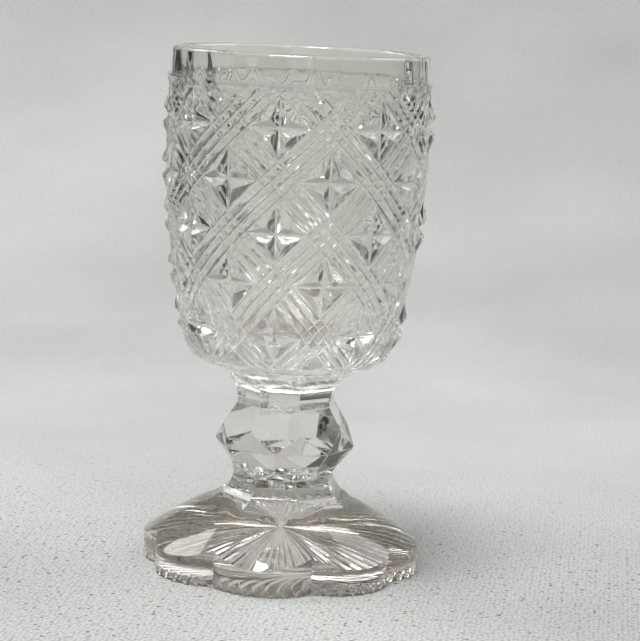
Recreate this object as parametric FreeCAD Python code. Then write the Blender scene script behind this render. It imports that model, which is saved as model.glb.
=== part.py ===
import FreeCAD, Part
import math
import os

# Pressed drinking glass with an eight-fold diamond and ribbon pattern.
# Millimetres, +Z up, origin at the centre of the underside of the foot.

# Driving dimensions
OVERALL_HEIGHT = 102.0
SIDES = 8
STEP = math.pi / SIDES

RIM_BAND_RADIUS = 25.2
RIM_BAND_BOTTOM = 96.6
RIM_ROUND = 0.9

CAVITY_FLOOR = 46.0
ROW_PITCH = 9.95
FIRST_ROW_BELOW_BAND = 8.2
RIBBON_HALF = 0.37
GROOVE_DEPTH = 0.95
CENTRE_DEPTH = 1.45
RIB_DEPTH = 0.30
PLAIN_DEPTH = 0.55
PATTERN_END_ROW = -5.3

BOWL_BASE_Z = 38.8
BOWL_BASE_RADIUS = 12.2
NECK_TOP_RADIUS = 12.6
NECK_WAIST_RADIUS = 9.9
KNOP_TOP_Z = 32.8
KNOP_RADIUS = 14.0
GIRDLE_HIGH_Z = 27.6
GIRDLE_LOW_Z = 25.2
KNOP_UNDER_Z = 20.2
KNOP_UNDER_RADIUS = 10.2
KNOP_BOTTOM_Z = 18.5
KNOP_BOTTOM_RADIUS = 10.1
SEAT_Z = 14.0
SEAT_RADIUS = 12.6

LOBE_RADIUS = 27.5
NOTCH_RADIUS = 24.7
RAYS_PER_LOBE = 8
RAY_DEPTH = 1.3
RAY_FILL = 0.46
RAY_MARGIN = 0.925

# Outer bowl profile from the rim band down to the shoulder, as (radius, height)
BOWL_OUTER = [
    (26.3, RIM_BAND_BOTTOM),
    (26.6, 88.4),
    (26.5, 79.0),
    (25.8, 69.0),
    (24.5, 59.0),
    (22.5, 49.0),
    (21.0, 44.0),
    (19.2, 41.4),
    (16.8, 40.0),
    (14.0, 39.2),
    (12.6, 38.9),
]

# Inner bowl profile from the rim down to the floor
BOWL_INNER = [
    (22.6, OVERALL_HEIGHT + 1.0),
    (22.6, OVERALL_HEIGHT - 6.0),
    (22.4, 88.0),
    (22.0, 79.0),
    (21.3, 69.0),
    (20.2, 59.0),
    (18.4, 52.0),
    (15.6, 48.4),
    (9.0, 46.5),
    (0.0, CAVITY_FLOOR),
]

# Upper face of the foot from its seat out to the edge
FOOT_TOP = [
    (SEAT_RADIUS, SEAT_Z),
    (14.0, 13.2),
    (16.0, 12.3),
    (20.0, 10.3),
    (24.0, 7.9),
    (LOBE_RADIUS + 0.2, 5.2),
]

# Concave neck and lower collar sections, as (height, corner radius)
NECK_SECTIONS = [
    (BOWL_BASE_Z, NECK_TOP_RADIUS),
    (37.6, 11.5),
    (36.4, 10.7),
    (35.2, 10.2),
    (34.0, 9.9),
    (KNOP_TOP_Z, NECK_WAIST_RADIUS),
]
COLLAR_SECTIONS = [
    (KNOP_BOTTOM_Z, KNOP_BOTTOM_RADIUS),
    (17.2, 10.5),
    (16.1, 11.1),
    (15.0, 12.0),
    (SEAT_Z, 13.3),
]


def vec(radius, turn, z):
    """A point at a radius and a turn from the front, in steps of half a side."""
    angle = turn * STEP
    return FreeCAD.Vector(radius * math.sin(angle), -radius * math.cos(angle), z)


def make_solid(polygons):
    """One closed solid from flat polygons given as lists of points."""
    faces = []
    for points in polygons:
        wire = Part.makePolygon(points + [points[0]])
        faces.append(Part.Face(wire))
    shell = Part.makeShell(faces)
    shell.sewShape()
    if shell.ShapeType != "Shell":
        shell = shell.Shells[0]
    solid = Part.makeSolid(shell)
    if solid.Volume < 0:
        solid.reverse()
    return solid


def revolve_points(points):
    """A solid of revolution about Z from a closed radius and height outline."""
    wire = Part.makePolygon([FreeCAD.Vector(r, 0, z) for r, z in points + [points[0]]])
    face = Part.Face(wire)
    return face.revolve(FreeCAD.Vector(0, 0, 0), FreeCAD.Vector(0, 0, 1), 360)


def spline_wire(points):
    """A smooth curve through (radius, height) points in the XZ plane."""
    curve = Part.BSplineCurve()
    curve.interpolate([FreeCAD.Vector(r, 0, z) for r, z in points])
    return curve.toShape()


def smooth_revolve(curve_points, closing_points):
    """Revolves a smooth curve closed by straight lines through further points."""
    edge = spline_wire(curve_points)
    path = [curve_points[-1]] + closing_points + [curve_points[0]]
    edges = [edge]
    for a, b in zip(path, path[1:]):
        edges.append(Part.makeLine(FreeCAD.Vector(a[0], 0, a[1]), FreeCAD.Vector(b[0], 0, b[1])))
    face = Part.Face(Part.Wire(edges))
    return face.revolve(FreeCAD.Vector(0, 0, 0), FreeCAD.Vector(0, 0, 1), 360)


def prism_stack(sections):
    """An eight-sided solid through flat sections, corners between the front flats."""
    polygons = []
    for (z_a, r_a), (z_b, r_b) in zip(sections, sections[1:]):
        for k in range(SIDES):
            left = 2 * k - 1
            right = 2 * k + 1
            quad = [vec(r_a, left, z_a), vec(r_a, right, z_a), vec(r_b, right, z_b), vec(r_b, left, z_b)]
            polygons.append(quad)
    for z, r in (sections[0], sections[-1]):
        polygons.append([vec(r, 2 * k + 1, z) for k in range(SIDES)])
    return make_solid(polygons)


class Profile:
    """Arc-length lookup along a (radius, height) profile."""

    def __init__(self, points):
        self.points = points
        self.lengths = [0.0]
        for a, b in zip(points, points[1:]):
            self.lengths.append(self.lengths[-1] + math.hypot(b[0] - a[0], b[1] - a[1]))

    def at(self, length):
        """Radius, height and outward normal at a length from the start."""
        length = min(max(length, 0.0), self.lengths[-1])
        i = 0
        while i < len(self.lengths) - 2 and self.lengths[i + 1] < length:
            i += 1
        t = (length - self.lengths[i]) / (self.lengths[i + 1] - self.lengths[i])
        a = self.points[i]
        b = self.points[i + 1]
        tangents = []
        for k in (i, i + 1):
            low = self.points[max(k - 1, 0)]
            high = self.points[min(k + 1, len(self.points) - 1)]
            size = math.hypot(high[0] - low[0], high[1] - low[1])
            tangents.append(((high[0] - low[0]) / size, (high[1] - low[1]) / size))
        tr = tangents[0][0] * (1 - t) + tangents[1][0] * t
        tz = tangents[0][1] * (1 - t) + tangents[1][1] * t
        size = math.hypot(tr, tz)
        r = a[0] * (1 - t) + b[0] * t
        z = a[1] * (1 - t) + b[1] * t
        return r, z, -tz / size, tr / size


OUTER = Profile(BOWL_OUTER)
TOP_ROW = FIRST_ROW_BELOW_BAND / ROW_PITCH


def pattern_point(u, v, depth):
    """Place of a pattern point: u in half sides around, v in rows, depth below the crests."""
    length = FIRST_ROW_BELOW_BAND - v * ROW_PITCH
    r, z, nr, nz = OUTER.at(length)
    return vec(r - depth * nr, u, min(z - depth * nz, RIM_BAND_BOTTOM))


def from_diagonals(p, q, depth):
    """Turns diagonal lattice coordinates into (u, v, depth)."""
    return ((p + q) / 2.0, (p - q) / 2.0, depth)


def diamond(p0, q0, plain):
    """Four small pyramids, or a plain facet, between the ribbons."""
    h = 1.0 - RIBBON_HALF
    corners = [(h, h), (h, -h), (-h, -h), (-h, h)]
    centre = from_diagonals(p0, q0, PLAIN_DEPTH if plain else CENTRE_DEPTH)
    found = []
    for i in range(4):
        a = corners[i]
        b = corners[(i + 1) % 4]
        ca = from_diagonals(p0 + a[0], q0 + a[1], GROOVE_DEPTH)
        cb = from_diagonals(p0 + b[0], q0 + b[1], GROOVE_DEPTH)
        if plain:
            found.append([centre, ca, cb])
            continue
        top = from_diagonals(p0 + (a[0] + b[0]) * 0.31, q0 + (a[1] + b[1]) * 0.31, 0.0)
        found += [[centre, ca, top], [ca, cb, top], [cb, centre, top]]
    return found


def hipped(p_low, p_high, q_low, q_high):
    """A raised rib or a small pyramid over one cell of the lattice."""
    a = from_diagonals(p_low, q_low, GROOVE_DEPTH)
    b = from_diagonals(p_high, q_low, GROOVE_DEPTH)
    c = from_diagonals(p_high, q_high, GROOVE_DEPTH)
    d = from_diagonals(p_low, q_high, GROOVE_DEPTH)
    width = p_high - p_low
    height = q_high - q_low
    inset = min(width, height) / 2.0
    if width > height * 1.01:
        e = from_diagonals(p_low + inset, q_low + inset, RIB_DEPTH)
        f = from_diagonals(p_high - inset, q_low + inset, RIB_DEPTH)
        return [[a, b, e], [b, f, e], [b, c, f], [c, d, f], [d, e, f], [d, a, e]]
    if height > width * 1.01:
        e = from_diagonals(p_low + inset, q_low + inset, RIB_DEPTH)
        f = from_diagonals(p_low + inset, q_high - inset, RIB_DEPTH)
        return [[a, b, e], [b, c, f], [b, f, e], [c, d, f], [d, a, e], [d, e, f]]
    e = from_diagonals(p_low + inset, q_low + inset, RIB_DEPTH)
    return [[a, b, e], [b, c, e], [c, d, e], [d, a, e]]


def clip(points, limit, keep_below):
    """Clips a triangle in (u, v, depth) to one side of a row line."""
    kept = []
    count = len(points)
    for i in range(count):
        a = points[i]
        b = points[(i + 1) % count]
        in_a = a[1] <= limit + 1e-9 if keep_below else a[1] >= limit - 1e-9
        in_b = b[1] <= limit + 1e-9 if keep_below else b[1] >= limit - 1e-9
        if in_a:
            kept.append(a)
        if in_a != in_b and abs(a[1] - limit) > 1e-9 and abs(b[1] - limit) > 1e-9:
            low, high = (a, b) if a < b else (b, a)
            t = (limit - low[1]) / (high[1] - low[1])
            kept.append(tuple(low[k] + (high[k] - low[k]) * t for k in range(3)))
    return kept


def pattern_triangles():
    """All pattern triangles, clipped between the rim band and the shoulder."""
    found = []
    lines = [1.0 - RIBBON_HALF + RIBBON_HALF * 2.0 * k / 3.0 for k in range(4)]
    span = 1.0 - RIBBON_HALF
    for u in range(2 * SIDES):
        for v in range(-8, 4):
            if (u + v) % 2:
                continue
            p0 = u + v
            q0 = u - v
            cells = diamond(p0, q0, v >= 1 or v <= -5)
            for k in range(3):
                cells += hipped(p0 + lines[k], p0 + lines[k + 1], q0 - span, q0 + span)
                cells += hipped(p0 - span, p0 + span, q0 + lines[k], q0 + lines[k + 1])
                for m in range(3):
                    cells += hipped(p0 + lines[k], p0 + lines[k + 1], q0 + lines[m], q0 + lines[m + 1])
            for cell in cells:
                cut = clip(cell, TOP_ROW, True)
                if len(cut) >= 3:
                    cut = clip(cut, PATTERN_END_ROW, False)
                for k in range(1, len(cut) - 1):
                    found.append([cut[0], cut[k], cut[k + 1]])
    return found


def key(point):
    """A rounded place, so that shared corners compare equal."""
    return (round(point.x, 5), round(point.y, 5), round(point.z, 5))


def relief_solid():
    """The patterned outside of the bowl as one closed solid, before hollowing."""
    polygons = []
    rows = {TOP_ROW: {}, PATTERN_END_ROW: {}}
    edges = {}
    for triangle in pattern_triangles():
        points = [pattern_point(*corner) for corner in triangle]
        keys = [key(p) for p in points]
        if len(set(keys)) < 3:
            continue
        area = (points[1] - points[0]).cross(points[2] - points[0]).Length
        if area < 1e-7:
            continue
        polygons.append(points)
        for i in range(3):
            pair = frozenset((keys[i], keys[(i + 1) % 3]))
            edges[pair] = edges.get(pair, 0) + 1
            u, v, _ = triangle[i]
            for row in rows:
                if abs(v - row) < 1e-6:
                    rows[row][keys[i]] = (u % (2 * SIDES), points[i])
    for row, radius, z in (
        (TOP_ROW, RIM_BAND_RADIUS - 0.6, RIM_BAND_BOTTOM),
        (PATTERN_END_ROW, BOWL_BASE_RADIUS, BOWL_BASE_Z),
    ):
        ring = sorted(rows[row].values(), key=lambda item: item[0])
        outer = [item[1] for item in ring]
        inner = [vec(radius, item[0], z) for item in ring]
        count = len(ring)
        for i in range(count):
            j = (i + 1) % count
            polygons.append([outer[i], outer[j], inner[j]])
            polygons.append([outer[i], inner[j], inner[i]])
        polygons.append(inner)
    return make_solid(polygons)


def bowl():
    """Patterned bowl with a plain rim band and a smooth cavity."""
    solid = relief_solid()
    band_inner = BOWL_INNER[0][0] - 2.0
    outline = [(0.0, RIM_BAND_BOTTOM - 1.0), (RIM_BAND_RADIUS - 0.9, RIM_BAND_BOTTOM - 1.0)]
    outline += [(RIM_BAND_RADIUS - 0.9, RIM_BAND_BOTTOM), (RIM_BAND_RADIUS, RIM_BAND_BOTTOM)]
    for k in range(7):
        angle = math.pi / 2 * k / 6
        r = RIM_BAND_RADIUS - RIM_ROUND * (1 - math.cos(angle))
        outline.append((r, OVERALL_HEIGHT - RIM_ROUND * (1 - math.sin(angle))))
    outline.append((band_inner, OVERALL_HEIGHT))
    outline.append((0.0, OVERALL_HEIGHT))
    solid = solid.fuse(revolve_points(outline))
    cavity = smooth_revolve(BOWL_INNER, [(0.0, BOWL_INNER[0][1])])
    solid = solid.cut(cavity)
    lip = [
        (BOWL_INNER[0][0] - 0.5, OVERALL_HEIGHT - RIM_ROUND - 0.4),
        (BOWL_INNER[0][0] + RIM_ROUND + 0.2, OVERALL_HEIGHT + 0.3),
        (BOWL_INNER[0][0] - 0.5, OVERALL_HEIGHT + 0.3),
    ]
    return solid.cut(revolve_points(lip))


def knop():
    """Faceted knob with two interlocking rows of pentagons."""
    polygons = []
    for k in range(SIDES):
        a = 2 * k
        top_l = vec(NECK_WAIST_RADIUS, a - 1, KNOP_TOP_Z)
        top_r = vec(NECK_WAIST_RADIUS, a + 1, KNOP_TOP_Z)
        high_l = vec(KNOP_RADIUS, a - 1, GIRDLE_HIGH_Z)
        high_r = vec(KNOP_RADIUS, a + 1, GIRDLE_HIGH_Z)
        low = vec(KNOP_RADIUS, a, GIRDLE_LOW_Z)
        low_next = vec(KNOP_RADIUS, a + 2, GIRDLE_LOW_Z)
        under = vec(KNOP_UNDER_RADIUS, a, KNOP_UNDER_Z)
        under_next = vec(KNOP_UNDER_RADIUS, a + 2, KNOP_UNDER_Z)
        foot_l = vec(KNOP_BOTTOM_RADIUS, a - 1, KNOP_BOTTOM_Z)
        foot_r = vec(KNOP_BOTTOM_RADIUS, a + 1, KNOP_BOTTOM_Z)
        polygons.append([top_l, top_r, high_r, high_l])
        polygons.append([high_l, high_r, low])
        polygons.append([high_r, low_next, low])
        polygons.append([low, low_next, under_next, under])
        polygons.append([under, under_next, foot_r])
        polygons.append([foot_l, under, foot_r])
    polygons.append([vec(NECK_WAIST_RADIUS, 2 * k + 1, KNOP_TOP_Z) for k in range(SIDES)])
    polygons.append([vec(KNOP_BOTTOM_RADIUS, 2 * k + 1, KNOP_BOTTOM_Z) for k in range(SIDES)])
    return make_solid(polygons)


def scallop_prism(scale, z_low, z_high):
    """Upright prism with eight round lobes centred on the flats."""
    half = STEP
    chord = 2 * NOTCH_RADIUS * math.sin(half)
    rise = LOBE_RADIUS - NOTCH_RADIUS * math.cos(half)
    arc_radius = chord * chord / (8 * rise) + rise / 2
    arcs = []
    for k in range(SIDES):
        a = vec(NOTCH_RADIUS * scale, 2 * k - 1, z_low)
        b = vec(LOBE_RADIUS * scale, 2 * k, z_low)
        c = vec(NOTCH_RADIUS * scale, 2 * k + 1, z_low)
        arcs.append(Part.Arc(a, b, c).toShape())
    assert arc_radius > 0
    face = Part.Face(Part.Wire(arcs))
    return face.extrude(FreeCAD.Vector(0, 0, z_high - z_low))


def ray_grooves():
    """Radial V grooves under the foot, a fan of them in each lobe."""
    pitch = 2.0 / RAYS_PER_LOBE
    grooves = []
    reach = LOBE_RADIUS + 1.0
    for k in range(SIDES):
        for m in range(RAYS_PER_LOBE):
            turn = 2 * k + (m - (RAYS_PER_LOBE - 1) / 2.0) * pitch
            spread = pitch * RAY_FILL
            tip = vec(2.0, turn, -0.01)
            left = vec(reach, turn - spread, -0.01)
            right = vec(reach, turn + spread, -0.01)
            crown = vec(reach, turn, RAY_DEPTH)
            grooves.append(make_solid([[tip, left, right], [tip, right, crown], [tip, crown, left], [left, crown, right]]))
    inside = scallop_prism(RAY_MARGIN, -1.0, RAY_DEPTH + 1.0)
    return [groove.common(inside) for groove in grooves]


def foot():
    """Thick domed foot with a scalloped edge, rayed underneath."""
    lobes = scallop_prism(1.0, 0.0, SEAT_Z + 1.0)
    outer = FOOT_TOP[-1]
    dome = smooth_revolve(FOOT_TOP, [(outer[0], -1.0), (0.0, -1.0), (0.0, SEAT_Z)])
    return lobes.common(dome).cut(Part.makeCompound(ray_grooves()))


def main():
    """Builds every piece and writes one file for each."""
    os.makedirs("parts", exist_ok=True)
    pieces = {
        "bowl": bowl,
        "bowl_collar": lambda: prism_stack(NECK_SECTIONS),
        "stem_knop": knop,
        "foot_collar": lambda: prism_stack(COLLAR_SECTIONS),
        "foot": foot,
    }
    for name, build in pieces.items():
        shape = build()
        if shape.ShapeType != "Solid" and len(shape.Solids) == 1:
            shape = shape.Solids[0]
        print(name, shape.ShapeType, shape.isValid(), round(shape.Volume, 1), shape.BoundBox)
        shape.exportStep("parts/" + name + ".step")


main()
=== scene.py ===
"""Looks of a short pressed wine glass: patterned bowl, faceted stem and rayed foot."""

import logging
import math
from collections.abc import Callable, Iterable, Sequence
from dataclasses import dataclass, field
from enum import Enum, IntEnum

import bpy
import numpy as np
from mathutils import Matrix, Vector


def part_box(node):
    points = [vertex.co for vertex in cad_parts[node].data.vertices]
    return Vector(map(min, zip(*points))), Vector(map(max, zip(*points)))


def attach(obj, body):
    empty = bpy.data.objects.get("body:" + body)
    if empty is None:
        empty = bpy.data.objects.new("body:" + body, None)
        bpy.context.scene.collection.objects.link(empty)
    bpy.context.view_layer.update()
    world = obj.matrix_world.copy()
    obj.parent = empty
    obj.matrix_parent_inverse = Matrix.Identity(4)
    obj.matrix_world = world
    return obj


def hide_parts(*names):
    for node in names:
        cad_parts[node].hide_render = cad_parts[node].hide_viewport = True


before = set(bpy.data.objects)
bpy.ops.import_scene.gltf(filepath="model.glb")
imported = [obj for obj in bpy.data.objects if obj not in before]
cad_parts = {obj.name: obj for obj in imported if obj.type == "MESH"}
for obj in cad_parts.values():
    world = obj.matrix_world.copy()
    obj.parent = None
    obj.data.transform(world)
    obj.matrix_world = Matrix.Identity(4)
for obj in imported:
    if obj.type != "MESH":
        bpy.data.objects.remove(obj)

LOG = logging.getLogger("wine_glass")
MM = 0.001
SIDES = 8
HALF_SIDE = math.pi / SIDES

# Points closer than one part of these grids (to the millimetre) count as one.
POINT_GRID = 20000
CORNER_GRID = 10000
NEAR = 1e-6
CUT_NEAR = 1e-7
# Limits on how a facet draws back from its edges.
DRAW_BACK_SHARE = 0.35
SMALLEST_SINE = 0.05
MOST_AT_A_CORNER = 64
# Keeps the middles of faces off the seam between two repeats of the pattern.
SEAM_SHIFT = 0.013
NORMAL_FLOOR = 0.05

Vec = tuple[float, float, float]
Cell = tuple[int, int, int]
Row = tuple[float, float, float, float]


class Skin(IntEnum):
    """Which of a piece's materials a face wears."""

    GLASS = 0
    JOINT = 1
    INSIDE = 2


class Tile(Enum):
    """What fills the space between the ribbons."""

    PYRAMIDS = "four small pyramids"
    PLAIN = "one flat facet"


# ---------------------------------------------------------------------------
# Finishes


class Finish:
    """A named node material that is made once and then shared."""

    name: str

    def material(self) -> bpy.types.Material:
        """Gives the material, and makes it the first time.

        Returns:
            The finished material.
        """
        made = bpy.data.materials.get(self.name)
        if made is None:
            made = bpy.data.materials.new(self.name)
            made.use_nodes = True
            self.paint(made.node_tree)
        return made

    def paint(self, tree: bpy.types.NodeTree) -> None:
        """Sets the nodes up; each finish has its own way."""
        raise NotImplementedError


@dataclass(frozen=True)
class GlassFinish(Finish):
    """Clear glass with a faint tint and the slow ripple of a pressed surface."""

    name: str
    tint: tuple[float, float, float]
    ripple: float = 0.03
    ripple_scale: float = 260.0
    roughness: float = 0.012
    ior: float = 1.52

    def paint(self, tree: bpy.types.NodeTree) -> None:
        """Sets the glass and its ripple up.

        Args:
            tree: The material's node tree.
        """
        shader = tree.nodes["Principled BSDF"]
        shader.inputs["Base Color"].default_value = (*self.tint, 1.0)
        shader.inputs["Roughness"].default_value = self.roughness
        shader.inputs["IOR"].default_value = self.ior
        shader.inputs["Transmission Weight"].default_value = 1.0
        place = tree.nodes.new("ShaderNodeTexCoord")
        noise = tree.nodes.new("ShaderNodeTexNoise")
        noise.inputs["Scale"].default_value = self.ripple_scale
        noise.inputs["Detail"].default_value = 1.5
        bump = tree.nodes.new("ShaderNodeBump")
        bump.inputs["Strength"].default_value = self.ripple
        bump.inputs["Distance"].default_value = 0.001
        tree.links.new(place.outputs["Object"], noise.inputs["Vector"])
        tree.links.new(noise.outputs["Fac"], bump.inputs["Height"])
        tree.links.new(bump.outputs["Normal"], shader.inputs["Normal"])


STEM_GLASS = GlassFinish("clear_stem_glass", (0.965, 0.945, 0.915))


@dataclass(frozen=True)
class JointFinish(Finish):
    """Nothing to see: where two gathers of glass have melted into one."""

    name: str = "melted_joint"

    def paint(self, tree: bpy.types.NodeTree) -> None:
        """Puts a fully transparent shader in.

        Args:
            tree: The material's node tree.
        """
        tree.nodes.remove(tree.nodes["Principled BSDF"])
        clear = tree.nodes.new("ShaderNodeBsdfTransparent")
        tree.links.new(clear.outputs["BSDF"], tree.nodes["Material Output"].inputs["Surface"])


@dataclass(frozen=True)
class ClothFinish(Finish):
    """Pale undyed cloth of coarse, slightly uneven threads, with painted shade in the gaps between them and a
    few dark flecks.

    Lengths are in metres. The weave fades out behind the glass, and painted shade darkens the cloth as it
    rises.
    """

    name: str = "pale_cloth"
    colour: tuple[float, float, float] = (0.562, 0.569, 0.552)
    thread: float = 0.0009
    thread_shift: float = 0.0012
    thread_relief: float = 0.0003
    unevenness: float = 0.6
    # Painted shade: tone on the thread tops and in the gaps between them.
    gap_shade_tones: tuple[float, float] = (1.12, 0.72)
    cloud_tones: tuple[float, float] = (0.85, 1.10)
    fleck_tone: float = 0.35
    fade_by: float = 0.12
    # Painted shade: the height over which the cloth darkens, and the tone it falls to there.
    rise: float = 0.25
    rise_shade_tone: float = 0.89

    def paint(self, tree: bpy.types.NodeTree) -> None:
        """Sets the weave, the flecks and the tones up.

        Args:
            tree: The material's node tree.
        """
        nodes, links = tree.nodes, tree.links
        shader = nodes["Principled BSDF"]
        shader.inputs["Roughness"].default_value = 0.95
        shader.inputs["Specular IOR Level"].default_value = 0.1
        place = nodes.new("ShaderNodeTexCoord").outputs["Object"]
        parts = nodes.new("ShaderNodeSeparateXYZ")
        links.new(place, parts.inputs["Vector"])
        knots = self._weave(tree, place)
        bump = nodes.new("ShaderNodeBump")
        bump.invert = True
        bump.inputs["Strength"].default_value = 0.9
        bump.inputs["Distance"].default_value = self.thread_relief
        links.new(knots, bump.inputs["Height"])
        links.new(bump.outputs["Normal"], shader.inputs["Normal"])
        # Painted shade: the colour darkens in the gaps between threads and lightens on their tops.
        painted_gap_shade = self._ranged(tree, knots, (0.10, 0.60), self.gap_shade_tones)
        flecks = self._noise(tree, place, 800.0, 0.0)
        dark = self._ranged(tree, flecks.outputs["Fac"], (0.72, 0.78), (1.0, self.fleck_tone))
        fine = self._math(tree, "MULTIPLY", painted_gap_shade, dark)
        near = self._ranged(tree, parts.outputs["Y"], (0.0, self.fade_by), (1.0, 0.0))
        fine = self._math(tree, "SUBTRACT", fine, 1.0)
        fine = self._math(tree, "MULTIPLY", fine, near)
        fine = self._math(tree, "ADD", fine, 1.0)
        clouds = self._noise(tree, place, 7.0, 3.0)
        shade = self._ranged(tree, clouds.outputs["Fac"], (0.3, 0.7), self.cloud_tones)
        # Painted shade: the cloth darkens as it rises, in place of light falling off upwards.
        rising = self._ranged(tree, parts.outputs["Z"], (0.0, self.rise), (1.0, self.rise_shade_tone))
        whole = self._math(tree, "MULTIPLY", fine, shade)
        whole = self._math(tree, "MULTIPLY", whole, rising)
        tone = nodes.new("ShaderNodeVectorMath")
        tone.operation = "SCALE"
        tone.inputs[0].default_value = self.colour
        links.new(whole, tone.inputs["Scale"])
        links.new(tone.outputs["Vector"], shader.inputs["Base Color"])

    def _weave(self, tree: bpy.types.NodeTree, place: bpy.types.NodeSocket) -> bpy.types.NodeSocket:
        """Square cells of thread, pushed out of line a little.

        Args:
            tree: The node tree.
            place: Where a point of the cloth is.

        Returns:
            The distance from the middle of a cell.
        """
        warp = self._noise(tree, place, 260.0)
        shove = tree.nodes.new("ShaderNodeVectorMath")
        shove.operation = "MULTIPLY_ADD"
        shove.inputs[1].default_value = (self.thread_shift, self.thread_shift, 0.0)
        tree.links.new(warp.outputs["Color"], shove.inputs[0])
        tree.links.new(place, shove.inputs[2])
        knots = tree.nodes.new("ShaderNodeTexVoronoi")
        knots.inputs["Scale"].default_value = 1.0 / self.thread
        knots.voronoi_dimensions = "2D"
        knots.distance = "CHEBYCHEV"
        knots.inputs["Randomness"].default_value = self.unevenness
        tree.links.new(shove.outputs["Vector"], knots.inputs["Vector"])
        return knots.outputs["Distance"]

    @staticmethod
    def _noise(
        tree: bpy.types.NodeTree, place: bpy.types.NodeSocket, scale: float, detail: float = 2.0
    ) -> bpy.types.Node:
        """Adds a noise over the cloth.

        Args:
            tree: The node tree.
            place: Where a point of the cloth is.
            scale: Its grains to a metre.
            detail: How many finer layers it has.

        Returns:
            The noise node.
        """
        noise = tree.nodes.new("ShaderNodeTexNoise")
        noise.inputs["Scale"].default_value = scale
        noise.inputs["Detail"].default_value = detail
        tree.links.new(place, noise.inputs["Vector"])
        return noise

    @staticmethod
    def _ranged(
        tree: bpy.types.NodeTree,
        value: bpy.types.NodeSocket,
        source: tuple[float, float],
        target: tuple[float, float],
    ) -> bpy.types.NodeSocket:
        """Maps a value from one range to another.

        Args:
            tree: The node tree.
            value: The value to map.
            source: The range it comes from.
            target: The range it goes to.

        Returns:
            The mapped value.
        """
        node = tree.nodes.new("ShaderNodeMapRange")
        for key, number in zip(("From Min", "From Max", "To Min", "To Max"), (*source, *target)):
            node.inputs[key].default_value = number
        tree.links.new(value, node.inputs["Value"])
        return node.outputs["Result"]

    @staticmethod
    def _math(
        tree: bpy.types.NodeTree,
        operation: str,
        first: bpy.types.NodeSocket,
        second: bpy.types.NodeSocket | float,
    ) -> bpy.types.NodeSocket:
        """Joins two values by one operation.

        Args:
            tree: The node tree.
            operation: Its name.
            first: The first value.
            second: The second value or a number.

        Returns:
            The result.
        """
        node = tree.nodes.new("ShaderNodeMath")
        node.operation = operation
        tree.links.new(first, node.inputs[0])
        if isinstance(second, float):
            node.inputs[1].default_value = second
        else:
            tree.links.new(second, node.inputs[1])
        return node.outputs[0]


# ---------------------------------------------------------------------------
# Shape helpers


def around(radius: float, turn: float, z: float) -> Vec:
    """A point at a radius and a turn from the front.

    Args:
        radius: Distance from the axis, in millimetres.
        turn: Angle from the front in half sides, positive to the right.
        z: Height in millimetres.

    Returns:
        The point in millimetres.
    """
    angle = turn * HALF_SIDE
    return (radius * math.sin(angle), -radius * math.cos(angle), z)


def grid_cell(place: Sequence[float], grid: int) -> Cell:
    """The cell of a fine grid that a place falls in."""
    return (round(place[0] * grid), round(place[1] * grid), round(place[2] * grid))


def unit(vector: Sequence[float]) -> Vec:
    """The vector scaled to length one."""
    size = math.sqrt(sum(c * c for c in vector)) or 1.0
    return (vector[0] / size, vector[1] / size, vector[2] / size)


class SmoothProfile:
    """A smooth line through (radius, height) knots, looked up by length."""

    def __init__(self, knots: Sequence[tuple[float, float]], steps: int = 24) -> None:
        """Samples the curve.

        Args:
            knots: Radius and height pairs that the line passes through.
            steps: Samples in each span.
        """
        points = np.array(knots, float)
        ends = [2 * points[0] - points[1], *points, 2 * points[-1] - points[-2]]
        found = []
        for a, b, c, d in zip(ends, ends[1:], ends[2:], ends[3:]):
            times = [0.0]
            for low, high in ((a, b), (b, c), (c, d)):
                times.append(times[-1] + math.sqrt(float(np.linalg.norm(high - low))))
            for t in np.linspace(times[1], times[2], steps, endpoint=False):
                found.append(self._blend((a, b, c, d), times, float(t)))
        found.append(points[-1])
        line = np.array(found)
        tangent = np.gradient(line, axis=0)
        tangent /= np.linalg.norm(tangent, axis=1, keepdims=True)
        steps_along = np.linalg.norm(np.diff(line, axis=0), axis=1)
        self.length = np.concatenate([[0.0], np.cumsum(steps_along)])
        self.line = line
        self.tangent = tangent

    @staticmethod
    def _blend(knots: Sequence[np.ndarray], times: Sequence[float], t: float) -> np.ndarray:
        """One point of a centripetal spline span.

        Args:
            knots: The four knots around the span.
            times: Their parameters.
            t: The parameter wanted.

        Returns:
            The point.
        """
        level = list(knots)
        for depth in (1, 2):
            following = []
            for i in range(4 - depth):
                low, high = times[i], times[i + depth]
                share = (t - low) / (high - low)
                following.append(level[i] * (1 - share) + level[i + 1] * share)
            level = following
        share = (t - times[1]) / (times[2] - times[1])
        return level[0] * (1 - share) + level[1] * share

    def at(self, length: float) -> Row:
        """Looks a length up.

        Args:
            length: Distance along the line from its first knot.

        Returns:
            Radius, height, and the unit normal to the right of the line's direction.
        """
        r, z, tr, tz = (
            float(np.interp(length, self.length, column))
            for column in (self.line[:, 0], self.line[:, 1], self.tangent[:, 0], self.tangent[:, 1])
        )
        size = math.hypot(tr, tz)
        return r, z, -tz / size, tr / size

    def total(self) -> float:
        """The whole length of the line."""
        return float(self.length[-1])


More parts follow.
